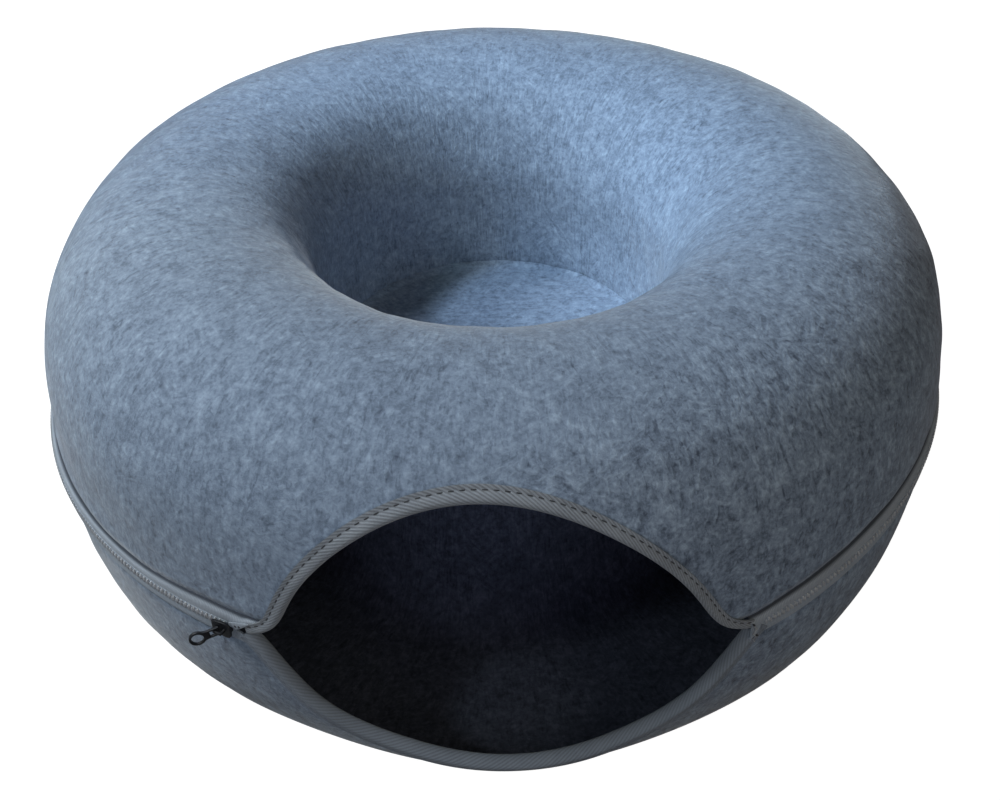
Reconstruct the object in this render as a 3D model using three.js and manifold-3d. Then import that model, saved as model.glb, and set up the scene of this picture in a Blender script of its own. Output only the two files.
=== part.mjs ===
// Round tunnel bed: two moulded felt half-rings, zipped together round the outside and sewn to a
// disc in the middle, so that they make a ring-shaped tunnel round a well. An opening in front,
// bound with twill tape, leads into the tunnel.
// Millimetres, +Z up. The bed stands on z = 0 with the middle of its base's extent on the origin, and the
// opening faces -Y. Angles are in degrees round the ring's axis from the front, positive towards +X.
import * as THREE from "three";
import { mergeVertices } from "three/addons/utils/BufferGeometryUtils.js";
import Module from "manifold-3d";

const wasm = await Module();
wasm.setup();

// Driving dimensions

const GAP = 0.3; // between pieces that touch on the real bed
const FELT = 4.5; // thickness of the moulded felt
const FELT_AT_SEAM = 2.2; // the felt is pressed thin where the zip is sewn on
const SEAM_FLAT = 6; // width of the pressed strip along the zip
const SEAM_RAMP = 15; // distance from the zip at which the felt has its full thickness

const ZIP_RADIUS = 249.2; // of the felt's edges at the zip
const ZIP_HEIGHT = 107; // of the zip's middle line
const ZIP_BAND = 18; // open width between the two felt edges, which the tapes fill

// Visible face of the upper half, from the zip over the crown and down the well
const UPPER_FACE = [
  { radius: ZIP_RADIUS, height: ZIP_HEIGHT + ZIP_BAND / 2 },
  { radius: 248.9, height: 123 },
  { radius: 248, height: 138 },
  { radius: 245.7, height: 158 },
  { radius: 239.5, height: 178 },
  { radius: 219, height: 204.5 },
  { radius: 191, height: 219 },
  { radius: 161, height: 222.5 },
  { radius: 134, height: 216.5 },
  { radius: 114.5, height: 202.5 },
  { radius: 98.5, height: 172 },
  { radius: 95.5, height: 138 },
  { radius: 92, height: 109 },
];

// Visible face of the lower half, from the zip down, across the ring it stands on and up the middle
const LOWER_FACE = [
  { radius: ZIP_RADIUS, height: ZIP_HEIGHT - ZIP_BAND / 2 },
  { radius: 247.6, height: 82 },
  { radius: 243, height: 56 },
  { radius: 234, height: 33 },
  { radius: 222.5, height: 14 },
  { radius: 208, height: 3 },
  { radius: 189, height: 0 },
  { radius: 171, height: 0 },
  { radius: 153, height: 0 },
  { radius: 135, height: 0 },
  { radius: 119, height: 9 },
  { radius: 107, height: 32 },
  { radius: 98.5, height: 66 },
  { radius: 92, height: 102 },
];

// Soft unevenness of the handled felt: each row pushes a wall outwards and lifts the felt near a place
const SOFT_SPOTS = [
  { angle: 2, spread: 15, height: 18, reach: 22, out: 5.5, up: 0 }, // under the opening
  { angle: -26, spread: 12, height: 20, reach: 25, out: -1.6, up: 0 },
  { angle: -92, spread: 40, height: 127, reach: 10, out: -1.4, up: 0 }, // pinch above the zip
  { angle: 29, spread: 12, height: 112, reach: 30, out: 0, up: -4 }, // the zip dips at its right-hand end
  { angle: 62, spread: 22, height: 112, reach: 30, out: 0, up: 3 },
  { angle: -30, spread: 14, height: 112, reach: 30, out: 0, up: 2.2 }, // and rises at the left-hand one
  { angle: -140, spread: 60, height: 215, reach: 40, out: 0, up: 1.8 }, // crown
  { angle: 125, spread: 60, height: 215, reach: 40, out: 0, up: -1.2 },
  { angle: -60, spread: 50, height: 215, reach: 40, out: 0, up: 2.7 },
  { angle: 60, spread: 50, height: 215, reach: 40, out: 0, up: -1 },
  { angle: -50, spread: 40, height: 190, reach: 30, out: -5, up: 0 }, // the well's lip leans in on the left
  { angle: 120, spread: 35, height: 178, reach: 35, out: 3.3, up: 0 }, // fuller shoulder at the back right
  { angle: -120, spread: 35, height: 178, reach: 35, out: -3, up: 0 }, // and a slimmer one at the back left
  { angle: -64, spread: 16, height: 107, reach: 15, out: 1.3, up: 0 },
];
const OUTER_WALL = { from: 150, to: 210 }; // radii over which a push grows to its full size
const WELL_WALL = { from: 110, to: 165 }; // and over which a push of the well's wall fades
const CROWN = 180; // spots above this height lift the whole crown and push the well, others the outer wall

// Arches of the opening, above and below the zip's middle line: half width in degrees on that line, reach
// along the felt, power of the sine that shapes the arch, degrees that its corners sweep outwards, distance
// in which that sweep fades, degrees that its top leans to the right, and where its binding starts
const OPENING = {
  upper: { halfAngle: 24.5, reach: 92, power: 1.34, flare: 3.9, fade: 5.5, lean: -1.8, start: 2.5 },
  lower: { halfAngle: 25.9, reach: 88, power: 1.1, flare: 3, fade: 12, lean: 1.5, start: 5 },
};

const BINDING = {
  tape: 1, // thickness
  outerWidth: 7.5, // on the visible face
  innerWidth: 7, // on the tunnel face
  outerGap: 0.35,
  edgeGap: 0.45, // between the fold and the felt's cut edge
  innerGap: 0.75, // the felt's inner facets lie a little below its true face
  endWidth: 0.7, // share of the width that is left at the corners
};

const ZIP = {
  tape: 1.2, // thickness
  margin: 5.5, // tucked behind the felt
  startAngle: 28.8, // right-hand end of the tapes
  endAngle: 331.2, // left-hand end, after the long way round the back
  split: 0.4, // half the gap between the tapes where the zip is closed
  splitOpen: 2.6, // half the gap at the free end past the slider
  bulge: 1, // the tapes' middle stands out of the felt's edges
  coilHalfWidth: 2.3,
  coilHeight: 1.7,
};

const SLIDER = {
  angle: 328.9, // near the left-hand end
  length: 11,
  narrow: 3.4, // half width on the closed side
  wide: 4.6, // half width on the open side
  plate: 1.3, // thickness of each plate
  outerBase: 3.4, // underside of the outer plate, from the zip's radius
  innerBase: -2.7, // back of the inner plate
  wedge: { from: 2.2, to: 5, halfWidth: 1.2 },
  bridge: { from: -3, to: 2.5, rise: 3.6, bar: 1.1, halfWidth: 0.7 },
};

const PULL = {
  thickness: 1.2,
  reach: 10.5, // from the crossbar to the ring's centre
  ring: 4.1, // outer radius
  eye: 3, // radius of the hole in the ring
  shoulder: 2.4, // half width beside the slot
  neck: 3, // half width where the tab runs into the ring
  slot: { from: 0.8, to: 4.4, halfWidth: 1.5 },
  bar: 0.6, // from the pivot to the tab's end
  pivot: { along: -0.5, out: 5.9 }, // on the slider, from its centre
  swing: 45, // out from the zip
  droop: 14, // down from the level
};

const WELL_FLOOR = { radius: 96.8, top: 107.5 };

// Angular stations: close together round the opening, wider apart behind
const FRONT_HALF = 40;
const FRONT_STEPS = 20;
const BACK_STEPS = 34;

// Distances along a felt half at which its section is worked out
const OPENING_STEP = 9;
const OPENING_ZONE = 105;
const REST_STEP = 15;

const radians = THREE.MathUtils.degToRad;

// A point of the bed from its angle and its even radius and height, with the soft spots added
function place(angle, { radius, height }) {
  const outer = THREE.MathUtils.smoothstep(radius, OUTER_WALL.from, OUTER_WALL.to);
  const well = 1 - THREE.MathUtils.smoothstep(radius, WELL_WALL.from, WELL_WALL.to);
  let out = 0;
  let up = 0;
  for (const spot of SOFT_SPOTS) {
    const onCrown = spot.height > CROWN;
    const turn = THREE.MathUtils.euclideanModulo(angle - spot.angle + 180, 360) - 180;
    const share = Math.exp(-((turn / spot.spread) ** 2) - ((height - spot.height) / spot.reach) ** 2);
    out += spot.out * share * (onCrown ? well : outer);
    up += spot.up * share * (onCrown ? 1 : outer);
  }
  const turned = radians(angle);
  return new THREE.Vector3(
    (radius + out) * Math.sin(turned),
    -(radius + out) * Math.cos(turned),
    height + up,
  );
}

// A felt half as a curve of its visible face; side is +1 for the upper half and -1 for the lower one
function feltHalf(rows, side, arch) {
  const points = rows.map((row) => new THREE.Vector3(row.radius, row.height, 0));
  const curve = new THREE.CatmullRomCurve3(points, false, "centripetal");
  curve.arcLengthDivisions = 800;
  return { curve, side, arch, length: curve.getLength() };
}

const upperHalf = feltHalf(UPPER_FACE, 1, OPENING.upper);
const lowerHalf = feltHalf(LOWER_FACE, -1, OPENING.lower);

// Radius and height at a distance from the zip along a half's face, at a depth under that face
function skin(half, distance, depth) {
  const share = THREE.MathUtils.clamp(distance / half.length, 0, 1);
  const on = half.curve.getPointAt(share);
  const along = half.curve.getTangentAt(share);
  const beyond = distance - share * half.length;
  return {
    radius: on.x + along.x * beyond - half.side * along.y * depth,
    height: Math.max(0, on.y + along.y * beyond) + half.side * along.x * depth,
  };
}

// Thickness of the felt at a distance from the zip
function feltThickness(distance) {
  return THREE.MathUtils.mapLinear(
    THREE.MathUtils.clamp(distance, SEAM_FLAT, SEAM_RAMP),
    SEAM_FLAT,
    SEAM_RAMP,
    FELT_AT_SEAM,
    FELT,
  );
}

function stations() {
  const front = Array.from({ length: FRONT_STEPS }, (_, i) => -FRONT_HALF + (2 * FRONT_HALF * i) / FRONT_STEPS);
  const back = Array.from({ length: BACK_STEPS }, (_, i) => FRONT_HALF + ((360 - 2 * FRONT_HALF) * i) / BACK_STEPS);
  return [...front, ...back];
}

// The stations strictly between two angles, with the two angles themselves
function stationsBetween(start, end) {
  const inside = stations()
    .map((angle) => THREE.MathUtils.euclideanModulo(angle, 360))
    .filter((angle) => angle > start + 0.5 && angle < end - 0.5)
    .sort((a, b) => a - b);
  return [start, ...inside, end];
}

// Solid through a row of closed sections of equal length; outline is the flat shape of an end's cap
function loft(sections, outline) {
  const size = sections[0].length;
  const closed = !outline;
  const positions = sections.flat().flatMap((point) => point.toArray());
  const index = [];
  const spans = closed ? sections.length : sections.length - 1;
  for (let i = 0; i < spans; i++) {
    const here = i * size;
    const next = ((i + 1) % sections.length) * size;
    for (let j = 0; j < size; j++) {
      const k = (j + 1) % size;
      index.push(here + j, next + j, next + k, here + j, next + k, here + k);
    }
  }
  if (!closed) {
    const last = (sections.length - 1) * size;
    const clockwise = THREE.ShapeUtils.isClockWise(outline);
    for (const [a, p, q] of THREE.ShapeUtils.triangulateShape(outline, [])) {
      const [b, c] = clockwise ? [q, p] : [p, q];
      index.push(a, b, c, last + a, last + c, last + b);
    }
  }
  const geometry = new THREE.BufferGeometry();
  geometry.setAttribute("position", new THREE.Float32BufferAttribute(positions, 3));
  geometry.setIndex(index);
  return geometry;
}

function toSolid(geometry) {
  const bare = new THREE.BufferGeometry();
  bare.setAttribute("position", geometry.getAttribute("position"));
  bare.setIndex(geometry.getIndex());
  const merged = mergeVertices(bare, 1e-4);
  const solid = new wasm.Manifold(
    new wasm.Mesh({
      numProp: 3,
      vertProperties: merged.getAttribute("position").array,
      triVerts: new Uint32Array(merged.getIndex().array),
    }),
  );
  return solid;
}

function toGeometry(solid) {
  const { vertProperties, triVerts } = solid.getMesh();
  const geometry = new THREE.BufferGeometry();
  geometry.setAttribute("position", new THREE.Float32BufferAttribute(vertProperties, 3));
  geometry.setIndex(new THREE.Uint32BufferAttribute(triVerts, 1));
  geometry.computeVertexNormals();
  return geometry;
}

// Felt shells

function feltDistances(half) {
  const distances = [0, SEAM_FLAT, SEAM_RAMP];
  while (distances.at(-1) + OPENING_STEP < OPENING_ZONE) {
    distances.push(distances.at(-1) + OPENING_STEP);
  }
  const rest = half.length - distances.at(-1);
  const steps = Math.round(rest / REST_STEP);
  const start = distances.at(-1);
  for (let i = 1; i <= steps; i++) {
    distances.push(start + (rest * i) / steps);
  }
  return distances;
}

function feltShell(half) {
  const distances = feltDistances(half);
  const face = distances.map((distance) => skin(half, distance, 0));
  const back = distances.map((distance) => skin(half, distance, feltThickness(distance))).reverse();
  const section = [...face, ...back];
  const ordered = half.side > 0 ? section : section.reverse();
  return loft(stations().map((angle) => ordered.map((point) => place(angle, point))));
}

// Edge of the opening: t runs from 0 at the right-hand corner to 180 at the left-hand one
function openingEdge(half, t) {
  const { halfAngle, reach, power, flare, fade, lean } = half.arch;
  const sine = Math.sin(radians(t));
  const cosine = Math.cos(radians(t));
  const rise = reach * sine ** power;
  const sweep = flare * Math.exp(-rise / fade) * Math.sign(cosine) * Math.min(1, 4 * Math.abs(cosine));
  return { angle: halfAngle * cosine + lean * sine + sweep, distance: rise - ZIP_BAND / 2 };
}

// Plug that cuts the opening: a wall square to the felt, closed by a fan outside and one inside
function openingPlug() {
  const depths = [-20, 0, FELT, 25];
  const steps = 60;
  const rim = [];
  for (const half of [upperHalf, lowerHalf]) {
    for (let i = 0; i < steps; i++) {
      const t = half.side > 0 ? (180 * (i + 0.5)) / steps : 180 - (180 * (i + 0.5)) / steps;
      rim.push({ half, ...openingEdge(half, t) });
    }
  }
  const loops = depths.map((depth) =>
    rim.map(({ half, angle, distance }) => place(angle, skin(half, distance, depth))),
  );
  const outerCentre = place(0, { radius: ZIP_RADIUS + 32, height: ZIP_HEIGHT });
  const innerCentre = place(0, { radius: ZIP_RADIUS - 42, height: ZIP_HEIGHT });
  const positions = [...loops.flat(), outerCentre, innerCentre].flatMap((point) => point.toArray());
  const count = rim.length;
  const innermost = (depths.length - 1) * count;
  const centre = depths.length * count;
  const index = [];
  for (let i = 0; i < count; i++) {
    const next = (i + 1) % count;
    for (let loop = 0; loop < innermost; loop += count) {
      const a = loop + i;
      const b = loop + next;
      index.push(a, b + count, b, a, a + count, b + count);
    }
    index.push(centre, i, next, centre + 1, innermost + next, innermost + i);
  }
  const geometry = new THREE.BufferGeometry();
  geometry.setAttribute("position", new THREE.Float32BufferAttribute(positions, 3));
  geometry.setIndex(index);
  return geometry;
}

// Twill binding folded over the felt's edge along one arch of the opening

function bindingSection() {
  const { tape, outerWidth, innerWidth, outerGap, edgeGap, innerGap } = BINDING;
  const face = -outerGap;
  const back = FELT + innerGap;
  const fold = edgeGap + tape;
  return [
    { across: outerWidth, depth: face - tape },
    { across: 0.2, depth: face - tape },
    { across: -fold, depth: 0.2 },
    { across: -fold, depth: FELT },
    { across: 0.2, depth: back + tape },
    { across: innerWidth, depth: back + tape },
    { across: innerWidth, depth: back },
    { across: -edgeGap, depth: back },
    { across: -edgeGap, depth: face },
    { across: outerWidth, depth: face },
  ];
}

function binding(half) {
  const steps = 46;
  const { start, reach, power } = half.arch;
  const first = THREE.MathUtils.radToDeg(Math.asin((start / reach) ** (1 / power)));
  const section = bindingSection();
  const probe = 0.5;
  const sections = [];
  for (let i = 0; i <= steps; i++) {
    const t = first + ((180 - 2 * first) * i) / steps;
    const here = openingEdge(half, t);
    const before = openingEdge(half, t - probe);
    const after = openingEdge(half, t + probe);
    const arc = radians(1) * skin(half, here.distance, 0).radius;
    const run = new THREE.Vector2((after.angle - before.angle) * arc, after.distance - before.distance);
    const into = new THREE.Vector2(run.y, -run.x).normalize();
    const taper = THREE.MathUtils.lerp(BINDING.endWidth, 1, Math.min(1, Math.min(i, steps - i) / 4));
    sections.push(
      section.map(({ across, depth }) => {
        const step = across > 1 ? across * taper : across;
        const distance = here.distance + into.y * step;
        return place(here.angle + (into.x * step) / arc, skin(half, distance, depth));
      }),
    );
  }
  const outline = section.map(({ across, depth }) => new THREE.Vector2(across, depth));
  return half.side > 0 ? loft(sections, outline) : loft(sections.reverse(), outline);
}

// Zip

// Half the gap between the two tapes: closed behind the slider and spread past it
function tapeSplit(angle) {
  const opened = THREE.MathUtils.smoothstep(angle, SLIDER.angle - 0.6, SLIDER.angle + 0.5);
  const spread = THREE.MathUtils.smoothstep(angle, SLIDER.angle, ZIP.endAngle);
  return ZIP.split + opened * 1.3 + spread * (ZIP.splitOpen - ZIP.split - 1.3);
}

// Tape of one half: tucked behind the felt, then bulging between the two felt edges
function zipTape(half) {
  const behind = FELT_AT_SEAM + 1.5 * GAP;
  const band = (radius, rise) => ({ radius, height: ZIP_HEIGHT + half.side * rise });
  const sectionAt = (angle) => {
    const face = [
      skin(half, ZIP.margin, behind),
      skin(half, 0, behind),
      band(ZIP_RADIUS + 0.5 * ZIP.bulge, ZIP_BAND / 2 - 3.5),
      band(ZIP_RADIUS + ZIP.bulge, tapeSplit(angle)),
    ];
    const back = face.map(({ radius, height }) => ({ radius: radius - ZIP.tape, height })).reverse();
    return [...face, ...back];
  };
  const angles = [...stationsBetween(ZIP.startAngle, SLIDER.angle - 0.6), SLIDER.angle + 0.5, ZIP.endAngle];
  const sections = angles.map((angle) => sectionAt(angle).map((point) => place(angle, point)));
  const outline = sectionAt(ZIP.startAngle).map(({ radius, height }) => new THREE.Vector2(radius, height));
  return half.side > 0 ? loft(sections.reverse(), outline) : loft(sections, outline);
}

// The closed coil as one low rib, from the right-hand end into the slider
function zipCoil() {
  const { bulge, coilHalfWidth, coilHeight } = ZIP;
  const seat = ZIP_RADIUS + bulge + GAP;
  const section = [
    { radius: seat, height: ZIP_HEIGHT - coilHalfWidth },
    { radius: seat + 0.7 * coilHeight, height: ZIP_HEIGHT - 0.7 * coilHalfWidth },
    { radius: seat + coilHeight, height: ZIP_HEIGHT },
    { radius: seat + 0.7 * coilHeight, height: ZIP_HEIGHT + 0.7 * coilHalfWidth },
    { radius: seat, height: ZIP_HEIGHT + coilHalfWidth },
  ];
  const angles = stationsBetween(ZIP.startAngle + 1, SLIDER.angle + 0.25);
  const sections = angles.map((angle) => section.map((point) => place(angle, point)));
  return loft(sections, section.map(({ radius, height }) => new THREE.Vector2(radius, height)));
}

function extruded(shape, depth, from) {
  const geometry = new THREE.ExtrudeGeometry(shape, { depth, bevelEnabled: false, curveSegments: 5 });
  geometry.translate(0, 0, from);
  return geometry;
}

// Slider, in its own frame: x along the zip towards its free end, y up, z out of the wall
function zipSlider() {
  const { length, narrow, wide, plate, outerBase, innerBase, wedge, bridge } = SLIDER;
  const end = length / 2;
  const outline = new THREE.Shape();
  outline.moveTo(-end, -narrow);
  outline.lineTo(0.15 * length, -wide);
  outline.quadraticCurveTo(end, -wide, end, -0.35 * wide);
  outline.lineTo(end, 0.35 * wide);
  outline.quadraticCurveTo(end, wide, 0.15 * length, wide);
  outline.lineTo(-end, narrow);
  outline.closePath();
  const outerPlate = extruded(outline, plate, outerBase);
  const innerPlate = extruded(outline, plate, innerBase);

  const wedgeWidth = 2 * wedge.halfWidth;
  const post = new THREE.BoxGeometry(wedge.to - wedge.from, wedgeWidth, outerBase - innerBase);
  post.translate((wedge.from + wedge.to) / 2, 0, (outerBase + innerBase + plate) / 2);

  const foot = outerBase + plate - 0.2;
  const top = foot + bridge.rise;
  const arch = new THREE.Shape();
  arch.moveTo(bridge.from, foot);
  arch.lineTo(bridge.from, top - bridge.bar);
  arch.quadraticCurveTo(bridge.from, top, bridge.from + bridge.bar, top);
  arch.lineTo(bridge.to - bridge.bar, top);
  arch.quadraticCurveTo(bridge.to, top, bridge.to, top - bridge.bar);
  arch.lineTo(bridge.to, foot);
  arch.lineTo(bridge.to - bridge.bar, foot);
  arch.lineTo(bridge.to - bridge.bar, top - bridge.bar);
  arch.lineTo(bridge.from + bridge.bar, top - bridge.bar);
  arch.lineTo(bridge.from + bridge.bar, foot);
  arch.closePath();
  const strap = extruded(arch, 2 * bridge.halfWidth, -bridge.halfWidth);
  strap.rotateX(Math.PI / 2);

  const parts = [innerPlate, post, strap].map((geometry) => toSolid(flat(geometry)));
  return toGeometry(parts.reduce((whole, part) => whole.add(part), toSolid(flat(outerPlate))));
}

// An indexed copy with nothing but positions, as a solid needs
function flat(geometry) {
  const loose = geometry.index ? geometry.toNonIndexed() : geometry;
  const bare = new THREE.BufferGeometry();
  bare.setAttribute("position", loose.getAttribute("position"));
  return mergeVertices(bare, 1e-4);
}

// Pull tab in its own frame: x from the crossbar to the ring, y across, z through its thickness
function zipPull() {
  const { thickness, reach, ring, eye, shoulder, neck, slot, bar } = PULL;
  const meet = Math.asin(neck / ring);
  const tab = new THREE.Shape();
  tab.moveTo(-bar, -shoulder);
  tab.lineTo(slot.to, -shoulder);
  tab.quadraticCurveTo(slot.to + 2, -shoulder, reach - ring * Math.cos(meet), -neck);
  tab.absarc(reach, 0, ring, Math.PI + meet, 3 * Math.PI - meet, false);
  tab.quadraticCurveTo(slot.to + 2, shoulder, slot.to, shoulder);
  tab.lineTo(-bar, shoulder);
  tab.closePath();
  const window = new THREE.Path();
  window.moveTo(slot.from, -slot.halfWidth);
  window.lineTo(slot.from, slot.halfWidth);
  window.lineTo(slot.to, slot.halfWidth);
  window.lineTo(slot.to, -slot.halfWidth);
  window.closePath();
  const hole = new THREE.Path();
  hole.absarc(reach, 0, eye, 0, 2 * Math.PI, true);
  tab.holes.push(window, hole);
  const geometry = new THREE.ExtrudeGeometry(tab, { depth: thickness, bevelEnabled: false, curveSegments: 12 });
  geometry.translate(0, 0, -thickness / 2);
  return geometry;
}

// Scene graph

function finish(color, roughness, metalness) {
  return new THREE.MeshStandardMaterial({ color, roughness, metalness });
}

const finishes = {
  felt: finish(0x70808f, 0.95, 0),
  binding: finish(0x767c86, 0.85, 0),
  tape: finish(0x828894, 0.85, 0),
  coil: finish(0x8e949e, 0.5, 0),
  metal: finish(0x16181c, 0.4, 0.6),
};

function piece(name, geometry, material) {
  geometry.computeVertexNormals();
  const mesh = new THREE.Mesh(geometry, material);
  mesh.name = name;
  return mesh;
}

const plug = toSolid(openingPlug());
const cutFelt = (half) => toGeometry(toSolid(feltShell(half)).subtract(plug));

const discGeometry = new THREE.CylinderGeometry(WELL_FLOOR.radius, WELL_FLOOR.radius, FELT, 54);
const disc = piece("well_floor", discGeometry, finishes.felt);
disc.rotation.x = Math.PI / 2;
disc.position.z = WELL_FLOOR.top - FELT / 2;

const sliderGroup = new THREE.Group();
const sliderTurn = radians(SLIDER.angle);
const alongZip = new THREE.Vector3(Math.cos(sliderTurn), Math.sin(sliderTurn), 0);
const outOfWall = new THREE.Vector3(Math.sin(sliderTurn), -Math.cos(sliderTurn), 0);
const upwards = new THREE.Vector3(0, 0, 1);
sliderGroup.quaternion.setFromRotationMatrix(new THREE.Matrix4().makeBasis(alongZip, upwards, outOfWall));
sliderGroup.position.copy(place(SLIDER.angle, { radius: ZIP_RADIUS, height: ZIP_HEIGHT }));
sliderGroup.add(piece("zip_slider", zipSlider(), finishes.metal));

const pullMesh = piece("zip_pull", zipPull(), finishes.metal);
pullMesh.position.set(PULL.pivot.along, 0, PULL.pivot.out);
pullMesh.rotation.order = "YZX";
pullMesh.rotation.set(0, Math.PI + radians(PULL.swing), radians(-PULL.droop));
sliderGroup.add(pullMesh);

const ring = new THREE.Group();
ring.add(
  piece("felt_upper", cutFelt(upperHalf), finishes.felt),
  piece("felt_lower", cutFelt(lowerHalf), finishes.felt),
  disc,
  piece("binding_upper", binding(upperHalf), finishes.binding),
  piece("binding_lower", binding(lowerHalf), finishes.binding),
  piece("zip_tape_upper", zipTape(upperHalf), finishes.tape),
  piece("zip_tape_lower", zipTape(lowerHalf), finishes.tape),
  piece("zip_coil", zipCoil(), finishes.coil),
  sliderGroup,
);
const middle = new THREE.Box3().setFromObject(ring, true).getCenter(new THREE.Vector3());
ring.position.set(-middle.x, -middle.y, 0);

const bed = new THREE.Group();
bed.add(ring);

export default bed;
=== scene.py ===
# Round tunnel bed: two moulded felt half-rings zipped together round the outside, a felt disc in the
# well, twill binding round the opening and a coil zip with a black slider.
# Metres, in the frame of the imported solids. Angles are in degrees round the ring's axis from the
# front, positive towards +X.
import math
from collections import namedtuple

import bpy
import numpy as np
from mathutils import Matrix, Vector


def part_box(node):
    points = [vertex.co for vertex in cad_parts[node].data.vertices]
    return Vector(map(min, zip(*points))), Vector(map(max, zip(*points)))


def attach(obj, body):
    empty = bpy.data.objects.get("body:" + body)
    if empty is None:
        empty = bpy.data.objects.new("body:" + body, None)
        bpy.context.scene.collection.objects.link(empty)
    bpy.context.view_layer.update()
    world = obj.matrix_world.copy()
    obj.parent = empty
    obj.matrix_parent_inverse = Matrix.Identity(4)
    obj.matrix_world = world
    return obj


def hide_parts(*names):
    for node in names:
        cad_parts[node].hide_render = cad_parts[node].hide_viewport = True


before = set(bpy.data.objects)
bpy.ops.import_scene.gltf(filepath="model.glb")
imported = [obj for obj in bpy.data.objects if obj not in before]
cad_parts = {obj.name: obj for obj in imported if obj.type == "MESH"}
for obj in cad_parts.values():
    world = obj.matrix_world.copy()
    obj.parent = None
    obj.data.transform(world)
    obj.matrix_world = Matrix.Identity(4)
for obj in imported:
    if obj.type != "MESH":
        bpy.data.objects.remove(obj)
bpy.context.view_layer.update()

# Sizes of the ring, in step with its solids

FELT = 0.0045  # thickness of the moulded felt
FELT_AT_SEAM = 0.0022  # pressed thin where the zip is sewn on
SEAM_FLAT = 0.006  # width of the pressed strip along the zip
SEAM_RAMP = 0.015  # distance from the zip at which the felt has its full thickness
ZIP_RADIUS = 0.2492  # of the felt's edges at the zip
ZIP_HEIGHT = 0.107  # of the zip's middle line
ZIP_BAND = 0.018  # open width between the two felt edges

# Visible faces from the zip inwards, as radius and height
UPPER_FACE = (
    (ZIP_RADIUS, 0.116), (0.2489, 0.123), (0.248, 0.138), (0.2457, 0.158), (0.2395, 0.178),
    (0.219, 0.2045), (0.191, 0.219), (0.161, 0.2225), (0.134, 0.2165), (0.1145, 0.2025),
    (0.0985, 0.172), (0.0955, 0.138), (0.092, 0.109),
)
LOWER_FACE = (
    (ZIP_RADIUS, 0.098), (0.2476, 0.082), (0.243, 0.056), (0.234, 0.033), (0.2225, 0.014),
    (0.208, 0.003), (0.189, 0.0), (0.171, 0.0), (0.153, 0.0), (0.135, 0.0), (0.119, 0.009),
    (0.107, 0.032), (0.0985, 0.066), (0.092, 0.102),
)

# Soft unevenness of the handled felt: an outward push of a wall and a lift, near a place. The last three are
# shallow forms on the right that the dressed bed has and its solids don't.
SoftSpot = namedtuple("SoftSpot", "angle spread height reach out up")
SOFT_SPOTS = (
    SoftSpot(2, 15, 0.018, 0.022, 0.0055, 0),
    SoftSpot(-26, 12, 0.020, 0.025, -0.0016, 0),
    SoftSpot(-92, 40, 0.127, 0.010, -0.0014, 0),
    SoftSpot(29, 12, 0.112, 0.030, 0, -0.004),
    SoftSpot(62, 22, 0.112, 0.030, 0, 0.003),
    SoftSpot(-30, 14, 0.112, 0.030, 0, 0.0022),
    SoftSpot(-140, 60, 0.215, 0.040, 0, 0.0018),
    SoftSpot(125, 60, 0.215, 0.040, 0, -0.0012),
    SoftSpot(-60, 50, 0.215, 0.040, 0, 0.0027),
    SoftSpot(60, 50, 0.215, 0.040, 0, -0.001),
    SoftSpot(-50, 40, 0.190, 0.030, -0.005, 0),
    SoftSpot(120, 35, 0.178, 0.035, 0.0033, 0),
    SoftSpot(-120, 35, 0.178, 0.035, -0.003, 0),
    SoftSpot(-64, 16, 0.107, 0.015, 0.0013, 0),
    SoftSpot(100, 35, 0.107, 0.035, 0.002, 0),
    SoftSpot(80, 18, 0.050, 0.035, -0.0042, 0),
    SoftSpot(60, 35, 0.020, 0.015, 0.0019, 0),
)
OUTER_WALL = (0.150, 0.210)  # radii over which a push grows to its full size
WELL_WALL = (0.110, 0.165)  # and over which a push of the well's wall fades
CROWN = 0.180  # spots above this height lift the whole crown and push the well, others the outer wall
TUNNEL_CORE = (0.172, 0.110)  # radius and height of the tunnel's middle line

# Arches of the opening above and below the zip's middle line: half their angle, their reach along the felt,
# how round they are, how far their top leans to the right, the reach at which the binding starts, and the
# degrees by which each corner runs out along the zip, with the reach in which that fades
Arch = namedtuple("Arch", "half_angle reach power lean start left_flare left_fade right_flare right_fade")
UPPER_ARCH = Arch(24.5, 0.092, 1.34, -1.8, 0.0004, 3.9, 0.0055, 3.9, 0.0055)
LOWER_ARCH = Arch(25.9, 0.088, 1.1, 1.5, 0.0012, 3.0, 0.012, 4.0, 0.016)
TOP_SHARE = 0.25  # the run-out fades to nothing over this share of the half width at the arch's top

# How the upper felt hangs over the zip: drop of its edge, and width of the crevice between it and the tape
Hang = namedtuple("Hang", "angle drop crevice")
HANGS = (
    Hang(26, 0.0036, 0.0024),
    Hang(29.5, 0.0028, 0.0024),
    Hang(33, 0.0010, 0.0024),
    Hang(45, -0.0002, 0.0024),
    Hang(62, -0.0010, 0.0024),
    Hang(85, -0.0012, 0.0024),
    Hang(130, 0, 0.0022),
    Hang(180, 0, 0.0018),
    Hang(250, 0.0012, 0.0012),
    Hang(282, 0.0020, 0.0010),
    Hang(300, 0.0030, 0.0010),
    Hang(316, 0.0030, 0.0010),
    Hang(326, 0, 0.0020),
    Hang(334, 0, 0.0030),
)
HANG_REACH = 0.022  # distance from the zip at which the felt no longer follows its edge

disc_low, disc_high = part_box("well_floor")
AXIS = ((disc_low + disc_high) / 2).to_2d()
DISC_RADIUS = (disc_high.x - disc_low.x) / 2
DISC_TOP = disc_high.z


# Geometry of the bed


def smoothstep(value, low, high):
    share = np.clip((value - low) / (high - low), 0, 1)
    return share * share * (3 - 2 * share)


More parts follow.
